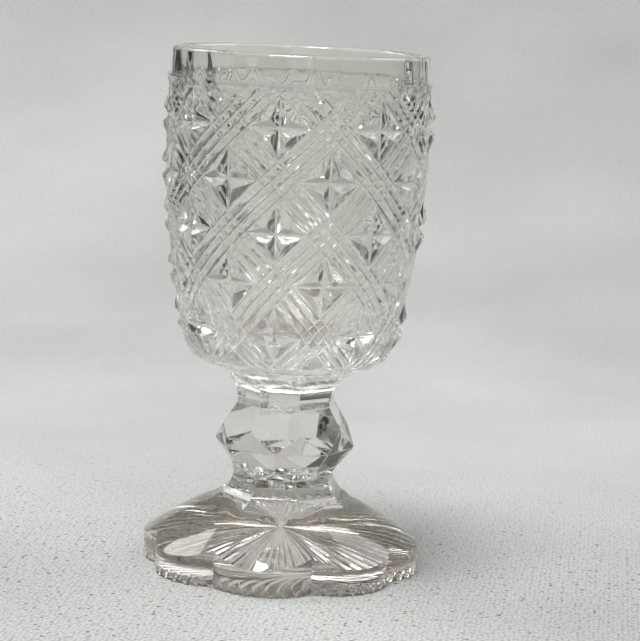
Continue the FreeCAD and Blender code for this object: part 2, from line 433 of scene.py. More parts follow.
class MeshDraft:
    """Points, faces and corner normals that become one mesh."""

    def __init__(self) -> None:
        """Starts with nothing."""
        self.points: list[Vec] = []
        self.faces: list[list[int]] = []
        self.normals: list[list[Vec]] = []
        self.skins: list[int] = []
        self.known: dict[Cell, int] = {}

    def point(self, place: Sequence[float]) -> int:
        """Adds a point, or finds the one already there.

        Args:
            place: Where it is, in millimetres.

        Returns:
            Its number.
        """
        key = grid_cell(place, POINT_GRID)
        if key not in self.known:
            self.known[key] = len(self.points)
            self.points.append((place[0], place[1], place[2]))
        return self.known[key]

    def face(self, corners: Sequence[int], normals: Sequence[Vec], skin: Skin = Skin.GLASS) -> None:
        """Adds a face, leaving out corners that fall together.

        Args:
            corners: Point numbers, anticlockwise from outside.
            normals: The normal at each corner.
            skin: The material it wears.
        """
        kept = [(c, n) for i, (c, n) in enumerate(zip(corners, normals)) if c != corners[i - 1]]
        if len({c for c, _ in kept}) < 3:
            return
        self.faces.append([c for c, _ in kept])
        self.normals.append([unit(n) for _, n in kept])
        self.skins.append(int(skin))

    def build(self, name: str, materials: Sequence[bpy.types.Material]) -> bpy.types.Object:
        """Turns the draft into an object in metres.

        Args:
            name: The piece's name.
            materials: Its materials, in the order of Skin.

        Returns:
            The object, linked to the scene.
        """
        mesh = bpy.data.meshes.new(name)
        mesh.from_pydata([tuple(c * MM for c in p) for p in self.points], [], self.faces)
        for material in materials:
            mesh.materials.append(material)
        mesh.polygons.foreach_set("material_index", self.skins)
        mesh.polygons.foreach_set("use_smooth", [True] * len(self.faces))
        mesh.normals_split_custom_set([n for face in self.normals for n in face])
        mesh.update()
        made = bpy.data.objects.new(name, mesh)
        bpy.context.scene.collection.objects.link(made)
        return made


@dataclass
class Facet:
    """One flat polygon before its edges are softened."""

    corners: list[Vec]
    skin: Skin = Skin.GLASS


@dataclass
class SoftFace:
    """A polygon with a normal at each corner."""

    corners: list[Vec]
    normals: list[Vec]
    skin: Skin = Skin.GLASS


def soften(facets: Sequence[Facet], width: float) -> list[SoftFace]:
    """Rounds every edge and corner of a set of facets by a narrow band.

    Args:
        facets: Convex polygons, anticlockwise from outside, that share their corners.
        width: How far each facet draws back from its edges.

    Returns:
        The facets, a strip along each shared edge and a cap at each shared corner.
    """
    inset: list[list[Vec]] = []
    plane: list[Vec] = []
    keys: list[list[Cell]] = []
    owner: dict[tuple[Cell, Cell], tuple[int, int]] = {}
    for f, facet in enumerate(facets):
        corners = [Vector(c) for c in facet.corners]
        count = len(corners)
        total = Vector((0.0, 0.0, 0.0))
        rim = 0.0
        for i in range(count):
            total += corners[i].cross(corners[(i + 1) % count])
            rim += (corners[i] - corners[i - 1]).length
        area = total.length / 2
        plane.append(tuple(total.normalized()))
        back = min(width, DRAW_BACK_SHARE * 2 * area / rim)
        drawn = []
        for i in range(count):
            before = (corners[i - 1] - corners[i]).normalized()
            after = (corners[(i + 1) % count] - corners[i]).normalized()
            sine = max(before.cross(after).length, SMALLEST_SINE)
            drawn.append(tuple(corners[i] + (before + after) * (back / sine)))
        inset.append(drawn)
        keys.append([grid_cell(c, CORNER_GRID) for c in facet.corners])
        for i in range(count):
            owner[(keys[f][i], keys[f][(i + 1) % count])] = (f, i)
    found = [
        SoftFace(drawn, [normal] * len(drawn), facet.skin)
        for drawn, normal, facet in zip(inset, plane, facets)
    ]
    for (a, b), (f, i) in owner.items():
        other = owner.get((b, a))
        if other is None or a > b:
            continue
        g, j = other
        i_next = (i + 1) % len(keys[f])
        j_next = (j + 1) % len(keys[g])
        corners = [inset[f][i_next], inset[f][i], inset[g][j_next], inset[g][j]]
        found.append(SoftFace(corners, [plane[f], plane[f], plane[g], plane[g]]))
    done: set[tuple[int, int]] = set()
    for f in range(len(facets)):
        for i in range(len(keys[f])):
            if (f, i) in done:
                continue
            ring = []
            at = (f, i)
            closed = False
            while True:
                ring.append(at)
                g, j = at
                here, previous = keys[g][j], keys[g][j - 1]
                after_face = owner.get((here, previous))
                if after_face is None:
                    break
                at = after_face
                if at == (f, i):
                    closed = True
                    break
                if len(ring) > MOST_AT_A_CORNER:
                    break
            if not closed:
                continue
            done.update(ring)
            if len(ring) >= 3:
                found.append(SoftFace([inset[g][j] for g, j in ring], [plane[g] for g, _ in ring]))
    return found


def split(face: SoftFace, axis: int, limit: float) -> tuple[SoftFace | None, SoftFace | None]:
    """Cuts a polygon in two along a line of constant coordinate.

    Args:
        face: The polygon.
        axis: 0 or 1, the coordinate that is compared.
        limit: Where the cut lies.

    Returns:
        The parts below and above the limit, with None for an empty one.
    """
    values = [c[axis] for c in face.corners]
    above, below = limit + CUT_NEAR, limit - CUT_NEAR
    if max(values) <= above:
        return face, None
    if min(values) >= below:
        return None, face
    parts: list[tuple[list[Vec], list[Vec]]] = [([], []), ([], [])]
    count = len(values)
    for i in range(count):
        j = (i + 1) % count
        a, b = face.corners[i], face.corners[j]
        na, nb = face.normals[i], face.normals[j]
        if a[axis] <= above:
            parts[0][0].append(a)
            parts[0][1].append(na)
        if a[axis] >= below:
            parts[1][0].append(a)
            parts[1][1].append(na)
        if a[axis] < below and b[axis] > above or a[axis] > above and b[axis] < below:
            if b < a:
                a, b, na, nb = b, a, nb, na
            share = (limit - a[axis]) / (b[axis] - a[axis])
            middle = tuple(p + (q - p) * share for p, q in zip(a, b))
            normal = unit([p + (q - p) * share for p, q in zip(na, nb)])
            for corners, normals in parts:
                corners.append(middle)
                normals.append(normal)
    made = [SoftFace(c, n, face.skin) if len(c) >= 3 else None for c, n in parts]
    return made[0], made[1]


def cut_up(faces: Iterable[SoftFace], axis: int, limits: Sequence[float]) -> list[SoftFace]:
    """Cuts polygons along several lines.

    Args:
        faces: The polygons.
        axis: 0 or 1, the coordinate that is compared.
        limits: Where the cuts lie, in rising order. In falling order a face is cut only once,
            at the highest that crosses it.

    Returns:
        All the parts.
    """
    found = []
    for face in faces:
        left: SoftFace | None = face
        low = min(c[axis] for c in face.corners)
        for limit in limits:
            if left is None or limit < low:
                continue
            below, left = split(left, axis, limit)
            if below is not None:
                found.append(below)
        if left is not None:
            found.append(left)
    return found


class GlassPart:
    """One gather of the glass: a closed surface that stands for one CAD node."""

    name: str
    node: str
    finish: GlassFinish

    def mesh(self) -> MeshDraft:
        """Builds the closed surface; each part has its own."""
        raise NotImplementedError

    def finishes(self) -> list[bpy.types.Material]:
        """The part's materials, in the order of Skin."""
        return [self.finish.material(), JointFinish().material()]

    def make(self) -> bpy.types.Object:
        """Makes the piece, dresses it and ties it to the frame.

        Returns:
            The finished piece.
        """
        piece = self.mesh().build(self.name, self.finishes())
        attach(piece, "root")
        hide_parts(self.node)
        return piece


# ---------------------------------------------------------------------------
# The bowl


@dataclass
class DiamondPattern:
    """The flat, unrolled pattern of diamonds and ribbons of three strips parted by fine grooves.

    A unit of the lattice is one half side across and one row up. Depths are in millimetres below
    the crests, and the cuts are how many pieces a unit is cut into before it is bent round the bowl.
    """

    unit_mm: float = 10.0
    ribbon_half: float = 0.37
    border: float = 0.045
    line_half: float = 0.022
    groove: float = 1.22
    valley: float = 1.25
    centre: float = 1.50
    strip_levels: tuple[tuple[float, float], ...] = ((0.12, 1.06), (0.34, 0.99))
    plain: float = 0.80
    apex: float = 0.29
    cap_share: float = 0.79
    cap_depth: float = 0.19
    tip_depth: float = 0.07
    edge_width: float = 0.09
    column_cuts: int = 6
    row_cuts: int = 2
    fine_row_cuts: int = 8
    fine_below: int = -4

    def place(self, p: float, q: float, depth: float) -> Vec:
        """A lattice point in flat millimetres.

        Args:
            p: Position along one diagonal.
            q: Position along the other.
            depth: Depth below the crests.

        Returns:
            The point.
        """
        return ((p + q) / 2 * self.unit_mm, (p - q) / 2 * self.unit_mm, -depth)

    def diamond(self, p0: float, q0: float, tile: Tile) -> list[Facet]:
        """The facets between the ribbons.

        Args:
            p0: Centre along one diagonal.
            q0: Centre along the other.
            tile: What fills it.

        Returns:
            The facets.
        """
        outer = 1.0 - self.ribbon_half
        span = outer - self.border
        corners = [(1, 1), (1, -1), (-1, -1), (-1, 1)]
        centre = self.place(p0, q0, self.plain if tile is Tile.PLAIN else self.centre)
        found = []
        for i in range(4):
            a, b = corners[i], corners[(i + 1) % 4]
            first = self.place(p0 + a[0] * span, q0 + a[1] * span, self.valley)
            second = self.place(p0 + b[0] * span, q0 + b[1] * span, self.valley)
            found.append(Facet([
                first,
                second,
                self.place(p0 + b[0] * outer, q0 + b[1] * outer, self.groove),
                self.place(p0 + a[0] * outer, q0 + a[1] * outer, self.groove),
            ]))
            if tile is Tile.PLAIN:
                found.append(Facet([first, centre, second]))
        if tile is Tile.PYRAMIDS:
            found += self._pyramids(p0, q0, span)
        return [self._face_up(f) for f in found]

    def _pyramids(self, p0: float, q0: float, span: float) -> list[Facet]:
        """Four small pyramids parted by a flat-bottomed upright cross.

        Args:
            p0: Centre along one diagonal.
            q0: Centre along the other.
            span: Half the diamond's size.

        Returns:
            The facets.
        """
        def at(u: float, v: float, depth: float) -> Vec:
            """A point given across and up from the centre."""
            return self.place(p0 + u + v, q0 + u - v, depth)

        w, far = self.line_half, span - self.line_half
        quarters = ((1, 1), (-1, 1), (-1, -1), (1, -1))
        found = [Facet([at(cu * w, cv * w, self.centre) for cu, cv in quarters])]
        for cu, cv in quarters:
            feet = (
                at(cu * w, cv * w, self.centre),
                at(cu * far, cv * w, self.valley),
                at(cu * w, cv * far, self.valley),
            )
            top = at(cu * self.apex * span, cv * self.apex * span, self.tip_depth)
            rim = [
                tuple(f + (t - f) * self.cap_share for f, t in zip(foot[:2], top[:2])) + (-self.cap_depth,)
                for foot in feet
            ]
            for k in range(3):
                m = (k + 1) % 3
                found.append(Facet([feet[k], feet[m], rim[m], rim[k]]))
                found.append(Facet([rim[k], rim[m], top]))
        for du, dv in ((1, 0), (0, 1), (-1, 0), (0, -1)):
            left = (du * w - dv * w, dv * w + du * w)
            right = (du * w + dv * w, dv * w - du * w)
            far_left = (du * far - dv * w, dv * far + du * w)
            far_right = (du * far + dv * w, dv * far - du * w)
            found.append(Facet([
                at(*left, self.centre),
                at(*right, self.centre),
                at(*far_right, self.valley),
                at(*far_left, self.valley),
            ]))
            found.append(Facet([
                at(*far_left, self.valley),
                at(*far_right, self.valley),
                at(du * span, dv * span, self.valley),
            ]))
        return found

    def strip_cell(self, p: tuple[float, float], q: tuple[float, float]) -> list[Facet]:
        """A low cushion between grooves, over one cell of a ribbon or a crossing.

        Args:
            p: The cell's limits along one diagonal.
            q: The cell's limits along the other.

        Returns:
            The facets.
        """
        narrow = min(p[1] - p[0], q[1] - q[0])
        rings = []
        for share, depth in ((0.0, self.groove), *self.strip_levels):
            back = narrow * share
            rings.append([
                self.place(p[0] + back, q[0] + back, depth),
                self.place(p[1] - back, q[0] + back, depth),
                self.place(p[1] - back, q[1] - back, depth),
                self.place(p[0] + back, q[1] - back, depth),
            ])
        found = [Facet(list(rings[-1]))]
        for low, high in zip(rings, rings[1:]):
            for i in range(4):
                j = (i + 1) % 4
                found.append(Facet([low[i], low[j], high[j], high[i]]))
        return [self._face_up(f) for f in found]

    @staticmethod
    def _face_up(facet: Facet) -> Facet:
        """Puts a facet's corners in the order that faces outward.

        Args:
            facet: The facet, which may face either way.

        Returns:
            The same facet, facing outward.
        """
        total = Vector((0.0, 0.0, 0.0))
        points = [Vector(c) for c in facet.corners]
        for i in range(len(points)):
            total += points[i - 1].cross(points[i])
        if total.z < 0:
            facet.corners.reverse()
        return facet

    def strip(self, low_row: float, high_row: float, plain_rows: Callable[[int], bool]) -> list[SoftFace]:
        """One repeat around, softened and cut to a range of rows.

        Args:
            low_row: Where it ends at the bottom.
            high_row: Where it ends at the top.
            plain_rows: Says which rows of diamonds are left plain.

        Returns:
            Polygons whose coordinates are half sides, rows and depth.
        """
        line = [1 - self.ribbon_half + self.ribbon_half * 2 * k / 3 for k in range(4)]
        span = 1 - self.ribbon_half
        facets: list[Facet] = []
        for u in range(-2, 5):
            for v in range(math.floor(low_row) - 2, math.ceil(high_row) + 3):
                if (u + v) % 2:
                    continue
                p0, q0 = u + v, u - v
                facets += self.diamond(p0, q0, Tile.PLAIN if plain_rows(v) else Tile.PYRAMIDS)
                for k in range(3):
                    p_cell = (p0 + line[k], p0 + line[k + 1])
                    q_cell = (q0 + line[k], q0 + line[k + 1])
                    facets += self.strip_cell(p_cell, (q0 - span, q0 + span))
                    facets += self.strip_cell((p0 - span, p0 + span), q_cell)
                    for m in range(3):
                        facets += self.strip_cell(p_cell, (q0 + line[m], q0 + line[m + 1]))
        start = -SEAM_SHIFT * self.unit_mm
        kept = []
        for face in soften(facets, self.edge_width):
            middle = sum(c[0] for c in face.corners) / len(face.corners)
            if start <= middle < start + 2 * self.unit_mm:
                kept.append(face)
        cuts, coarse, fine = self.column_cuts, self.row_cuts, self.fine_row_cuts
        columns = [k * self.unit_mm / cuts for k in range(-2 * cuts, 4 * cuts + 1)]
        kept = cut_up(kept, 0, columns)
        rows = [k * self.unit_mm / fine for k in range(math.floor(low_row * fine), self.fine_below * fine + 1)]
        first, last = self.fine_below * coarse + 1, math.ceil(high_row) * coarse
        rows += [k * self.unit_mm / coarse for k in range(first, last + 1)]
        kept = cut_up(kept, 1, rows)
        trimmed = []
        for face in kept:
            _, upper = split(face, 1, low_row * self.unit_mm)
            if upper is not None:
                upper, _ = split(upper, 1, high_row * self.unit_mm)
            if upper is not None:
                trimmed.append(upper)
        return trimmed


@dataclass
class Bowl(GlassPart):
    """Bucket-shaped cup with rounded shoulders, patterned outside and smooth inside.

    The pyramids fill the rows of diamonds between the two plain ones. Above level_above the relief
    moves points only level, so that the edge under the rim band stays flat. Below worn_below the
    inside of the cup has its own finish, and near the rim it sways in and out a little.
    """

    name: str = "patterned_bowl"
    node: str = "bowl"
    finish: GlassFinish = GlassFinish("clear_bowl_glass", (0.99, 0.975, 0.95))
    inside: GlassFinish = GlassFinish("worn_cup_glass", (0.99, 0.975, 0.95), 0.04, 200.0, 0.11)
    pattern: DiamondPattern = field(default_factory=DiamondPattern)
    row_pitch: float = 9.95
    first_row: float = 8.2
    end_row: float = -5.3
    plain_from: int = 1
    plain_to: int = -5
    ease_steps: int = 3
    band_top_radius: float = 25.0
    band_low_radius: float = 25.15
    band_shares: tuple[float, ...] = (0.0, 0.33, 0.66, 1.0)
    lip_round: float = 0.9
    lip_steps: int = 6
    cavity_steps: int = 30
    ease_length: float = 1.3
    ledge_depth: float = 0.4
    level_above: float = 90.0
    worn_below: float = 87.0
    sway_wall: float = 0.03
    sway_wall_from: float = 50.0
    sway_wall_rise: float = 30.0
    sway_rim: float = 0.20
    sway_rim_drop: float = 5.0
    sway_rim_spread: float = 6.0
    sway_waves: tuple[tuple[int, float, float, float], ...] = (
        (9, 1.0, 0.6, 0.05), (17, 0.6, 2.1, -0.11), (29, 0.35, 0.0, 0.2),
    )
    base_corner_radius: float = 12.6
    base_lean: tuple[float, float] = (0.45, -0.9)
    outer: tuple[tuple[float, float], ...] = (
        (26.3, 96.6), (26.6, 88.4), (26.5, 79.0), (25.8, 69.0), (24.5, 59.0),
        (22.7, 49.0), (21.6, 44.5), (20.0, 41.7), (17.3, 40.1), (14.0, 39.2), (12.6, 38.9),
    )
    inner: tuple[tuple[float, float], ...] = (
        (22.6, 96.0), (22.4, 88.0), (22.0, 79.0), (21.3, 69.0), (20.2, 59.0),
        (18.4, 52.0), (15.6, 48.4), (9.0, 46.5), (0.0, 46.0),
    )

    def finishes(self) -> list[bpy.types.Material]:
        """Clear glass, the joint's and the cup's inside."""
        return [*super().finishes(), self.inside.material()]

    def mesh(self) -> MeshDraft:
        """Builds the whole closed surface.

        Returns:
            The draft.
        """
        draft = MeshDraft()
        low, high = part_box(self.node)
        profile = SmoothProfile(self.outer)
        top_row = self.first_row / self.row_pitch
        unit_mm = self.pattern.unit_mm
        strip = self.pattern.strip(self.end_row, top_row, self._is_plain)
        steps = self.ease_steps
        eased = [self.first_row - self.ease_length * k / steps for k in range(1, steps + 1)]
        strip = cut_up(strip, 1, [unit_mm * length / self.row_pitch for length in eased])
        edges: dict[float, dict[int, float]] = {top_row: {}, self.end_row: {}}
        for repeat in range(SIDES):
            for face in strip:
                corners, normals = [], []
                for (x, y, depth), normal in zip(face.corners, face.normals):
                    u, v = x / unit_mm + 2 * repeat, y / unit_mm
                    length = self.first_row - v * self.row_pitch
                    depth, normal = self._eased(length, depth, normal)
                    r, z, nr, nz = profile.at(length)
                    angle = u * HALF_SIDE
                    out = (math.sin(angle), -math.cos(angle))
                    side = (math.cos(angle), math.sin(angle))
                    place = (
                        (r + depth * nr) * out[0],
                        (r + depth * nr) * out[1],
                        z + depth * nz if z < self.level_above else z,
                    )
                    number = draft.point(place)
                    corners.append(number)
                    up_r, up_z = -nz, nr
                    normals.append((
                        normal[0] * side[0] + normal[1] * up_r * out[0] + normal[2] * nr * out[0],
                        normal[0] * side[1] + normal[1] * up_r * out[1] + normal[2] * nr * out[1],
                        normal[1] * up_z + normal[2] * nz,
                    ))
                    for row in edges:
                        if abs(v - row) < NEAR:
                            edges[row][number] = u % (2 * SIDES)
                draft.face(corners, normals)
        self._rim_and_cavity(draft, edges[top_row], high.z / MM)
        self._base(draft, edges[self.end_row], low.z / MM)
        return draft

    def _is_plain(self, row: int) -> bool:
        """Whether a row of diamonds is left plain."""
        return row >= self.plain_from or row <= self.plain_to

    def _eased(self, length: float, depth: float, normal: Vec) -> tuple[float, Vec]:
        """Lets the pattern run out smoothly just below the rim band.

        Args:
            length: Distance down the outline from the band.
            depth: Height of the point (below zero inside the crests).
            normal: Its direction in the unrolled pattern.

        Returns:
            The eased height and direction.
        """
        share = length / self.ease_length
        if share >= 1.0:
            return depth, normal
        share = max(share, 0.0)
        ease = share * share * (3 - 2 * share)
        rate = -6 * share * (1 - share) / self.ease_length
        lift = max(normal[2], NORMAL_FLOOR)
        above = depth + self.ledge_depth
        slope = (-normal[0] / lift * ease, -normal[1] / lift * ease + above * rate)
        return above * ease - self.ledge_depth, unit((-slope[0], -slope[1], 1.0))

    def _rows_inside(self, top: float) -> list[Row]:
        """The plain surfaces from the foot of the rim band over the lip to the floor.

        Args:
            top: Height of the rim.

        Returns:
            Radius, height and normal of each row.
        """
        band_low = self.outer[0][1]
        corner = self.lip_round
        rows: list[Row] = []
        lean = math.atan2(self.band_low_radius - self.band_top_radius, top - band_low)
        for share in self.band_shares:
            r = self.band_low_radius + (self.band_top_radius - self.band_low_radius) * share
            rows.append((r, band_low + (top - corner - band_low) * share, math.cos(lean), math.sin(lean)))
        for k in range(1, self.lip_steps + 1):
            angle = math.pi / 2 * k / self.lip_steps
            rows.append((
                self.band_top_radius - corner * (1 - math.cos(angle)),
                top - corner * (1 - math.sin(angle)),
                math.cos(angle),
                math.sin(angle),
            ))
        inner_r = self.inner[0][0]
        for k in range(self.lip_steps + 1):
            angle = math.pi / 2 * k / self.lip_steps
            rows.append((
                inner_r + corner * (1 - math.sin(angle)),
                top - corner * (1 - math.cos(angle)),
                -math.sin(angle),
                math.cos(angle),
            ))
        profile = SmoothProfile(self.inner)
        for k in range(1, self.cavity_steps + 1):
            r, z, nr, nz = profile.at(profile.total() * k / self.cavity_steps)
            rows.append((max(r, 0.0), z, -nr, -nz))
        return rows

    def _rim_and_cavity(self, draft: MeshDraft, edge: dict[int, float], top: float) -> None:
        """Adds the ledge, rim band, lip and cavity above the pattern's top edge.

        Args:
            draft: The mesh so far.
            edge: Point numbers along the edge, with their turn.
            top: Height of the rim.
        """
        ring = sorted(edge.items(), key=lambda item: item[1])
        turns = [turn for _, turn in ring]
        rows = self._rows_inside(top)
        below = [number for number, _ in ring]
        count = len(ring)
        first_inner = len(self.band_shares) + self.lip_steps
        first_cavity = first_inner + self.lip_steps + 1
        sways = [
            [self._sway(row[1], top, turn) if i >= first_inner else (0.0, 0.0) for turn in turns]
            for i, row in enumerate(rows)
        ]
        for i, (r, z, _, _) in enumerate(rows):
            above = [
                draft.point(around(max(r + shift, 0.0), turn, z)) for turn, (shift, _) in zip(turns, sways[i])
            ]
            for k in range(count):
                m = (k + 1) % count
                if i == 0:
                    normals = [(0.0, 0.0, 1.0)] * 4
                else:
                    normals = [
                        self._swayed_normal(rows[at], turns[n], sways[at][n][1])
                        for at, n in ((i - 1, k), (i - 1, m), (i, m), (i, k))
                    ]
                skin = Skin.INSIDE if i >= first_cavity and z < self.worn_below else Skin.GLASS
                draft.face([below[k], below[m], above[m], above[k]], normals, skin)
            below = above

    @staticmethod
    def _swayed_normal(row: Row, turn: float, rate: float) -> Vec:
        """The normal of a round row where it sways.

        Args:
            row: The row's radius, height and normal.
            turn: Direction in half sides.
            rate: How fast the radius grows with the angle there, in millimetres per radian.

        Returns:
            The normal.
        """
        s, c = math.sin(turn * HALF_SIDE), math.cos(turn * HALF_SIDE)
        lean = -rate / max(row[0], 1.0) * row[2]
        return unit((row[2] * s + lean * c, -row[2] * c + lean * s, row[3]))

    def _sway(self, z: float, top: float, turn: float) -> tuple[float, float]:
        """How the cavity wall sways in and out, as pressed glass does.

        Args:
            z: The height.
            top: Height of the rim.
            turn: Direction in half sides.

        Returns:
            The offset in millimetres and its rate per radian.
        """
        reach = max(0.0, min(1.0, (z - self.sway_wall_from) / self.sway_wall_rise))
        near_rim = math.exp(-((top - self.sway_rim_drop - z) / self.sway_rim_spread) ** 2)
        size = self.sway_wall * reach + self.sway_rim * near_rim
        angle = turn * HALF_SIDE
        offset = rate = 0.0
        for times, share, start, climb in self.sway_waves:
            phase = start + z * climb
            offset += share * math.sin(times * angle + phase)
            rate += share * times * math.cos(times * angle + phase)
        return size * offset, size * rate

    def _base(self, draft: MeshDraft, edge: dict[int, float], bottom: float) -> None:
        """Adds the underside between the pattern's lower edge and the stem.

        Args:
            draft: The mesh so far.
            edge: Point numbers along the edge, with their turn.
            bottom: Height of the joint with the stem.
        """
        ring = sorted(edge.items(), key=lambda item: item[1])
        turns = [turn for _, turn in ring]
        count = len(ring)
        outline = [draft.point(around(octagon(self.base_corner_radius, t), t, bottom)) for t in turns]
        for k in range(count):
            m = (k + 1) % count
            normals = []
            for turn in (turns[m], turns[k], turns[k], turns[m]):
                s, c = math.sin(turn * HALF_SIDE), math.cos(turn * HALF_SIDE)
                normals.append((self.base_lean[0] * s, -self.base_lean[0] * c, self.base_lean[1]))
            draft.face([ring[m][0], ring[k][0], outline[k], outline[m]], normals)
        draft.face(outline[::-1], [(0.0, 0.0, -1.0)] * count, Skin.JOINT)


def octagon(corner_radius: float, turn: float) -> float:
    """Distance from the axis to the side of an octagon whose corners lie between the flats.

    Args:
        corner_radius: Distance of its corners from the axis.
        turn: Direction, in half sides from the front.

    Returns:
        The distance.
    """
    offset = (turn + 1) % 2 - 1
    return corner_radius * math.cos(HALF_SIDE) / math.cos(offset * HALF_SIDE)


# ---------------------------------------------------------------------------
# The stem


@dataclass
class Collar(GlassPart):
    """Eight-sided length of stem with a smooth upright curve and softened corners.

    The sections are corner radii at distances below the top.
    """

    name: str
    node: str
    sections: tuple[tuple[float, float], ...]
    finish: GlassFinish = STEM_GLASS
    rows: int = 18
    corner_share: float = 0.965

    @classmethod
    def neck(cls) -> "Collar":
        """The concave neck between bowl and knop."""
        sections = ((12.6, 0.0), (11.5, 1.2), (10.7, 2.4), (10.2, 3.6), (9.95, 4.8), (9.9, 6.0))
        return cls("bowl_neck", "bowl_collar", sections)

    @classmethod
    def flare(cls) -> "Collar":
        """The flare between knop and foot."""
        sections = ((10.1, 0.0), (10.5, 1.3), (11.1, 2.4), (12.0, 3.5), (13.3, 4.5))
        return cls("foot_flare", "foot_collar", sections)

    def mesh(self) -> MeshDraft:
        """Builds the closed surface.

        Returns:
            The draft.
        """
        draft = MeshDraft()
        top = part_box(self.node)[1].z / MM
        profile = SmoothProfile([(radius, top - drop) for radius, drop in self.sections])
        rings: list[list[tuple[int, Vec]]] = []
        for i in range(self.rows + 1):
            r, z, nr, nz = profile.at(profile.total() * i / self.rows)
            ring = []
            for side in range(SIDES):
                a, b = around(r, 2 * side - 1, z), around(r, 2 * side + 1, z)
                flat = unit(around(1.0, 2 * side, 0.0))
                for share in (-self.corner_share, -0.5, 0.0, 0.5, self.corner_share):
                    mix = (share + 1) / 2
                    place = tuple(p + (q - p) * mix for p, q in zip(a, b))
                    ring.append((draft.point(place), (flat[0] * nr, flat[1] * nr, nz)))
            rings.append(ring)
        count = len(rings[0])
        for high, low in zip(rings, rings[1:]):
            for k in range(count):
                m = (k + 1) % count
                corners = [low[k], low[m], high[m], high[k]]
                draft.face([c[0] for c in corners], [c[1] for c in corners])
        draft.face([c[0] for c in rings[0]], [(0.0, 0.0, 1.0)] * count, Skin.JOINT)
        draft.face([c[0] for c in rings[-1]][::-1], [(0.0, 0.0, -1.0)] * count, Skin.JOINT)
        return draft


@dataclass
class Knop(GlassPart):
    """Faceted knob: pentagons above a zigzag girdle, triangles and four-sided facets below it."""

    name: str = "faceted_knop"
    node: str = "stem_knop"
    finish: GlassFinish = STEM_GLASS
    top_radius: float = 9.9
    peak_radius: float = 12.78
    peak_z: float = 28.2
    girdle_radius: float = 14.0
    girdle_z: float = 24.4
    under_radius: float = 10.5
    under_z: float = 20.0
    bottom_radius: float = 10.1
    edge_width: float = 0.16

    def mesh(self) -> MeshDraft:
        """Builds the closed surface.

        Returns:
            The draft.
        """
        low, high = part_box(self.node)
        top, bottom = high.z / MM, low.z / MM
        facets = []
        for k in range(SIDES):
            a = 2 * k
            top_l, top_r = around(self.top_radius, a - 1, top), around(self.top_radius, a + 1, top)
            peak_l, peak_r = (around(self.peak_radius, a + d, self.peak_z) for d in (-1, 1))
            dip, dip_next = (around(self.girdle_radius, a + d, self.girdle_z) for d in (0, 2))
            under, under_next = (around(self.under_radius, a + d, self.under_z) for d in (0, 2))
            foot_l, foot_r = (around(self.bottom_radius, a + d, bottom) for d in (-1, 1))
            facets.append(Facet([top_r, top_l, peak_l, dip, peak_r]))
            facets.append(Facet([peak_r, dip, dip_next]))
            facets.append(Facet([dip, under, under_next, dip_next]))
            facets.append(Facet([under, foot_r, under_next]))
            facets.append(Facet([under, foot_l, foot_r]))
        facets.append(Facet([around(self.top_radius, 2 * k + 1, top) for k in range(SIDES)], Skin.JOINT))
        floor = [around(self.bottom_radius, 2 * k + 1, bottom) for k in range(SIDES)]
        facets.append(Facet(floor[::-1], Skin.JOINT))
        draft = MeshDraft()
        for face in soften(facets, self.edge_width):
            draft.face([draft.point(c) for c in face.corners], face.normals, face.skin)
        return draft


# ---------------------------------------------------------------------------
# The foot


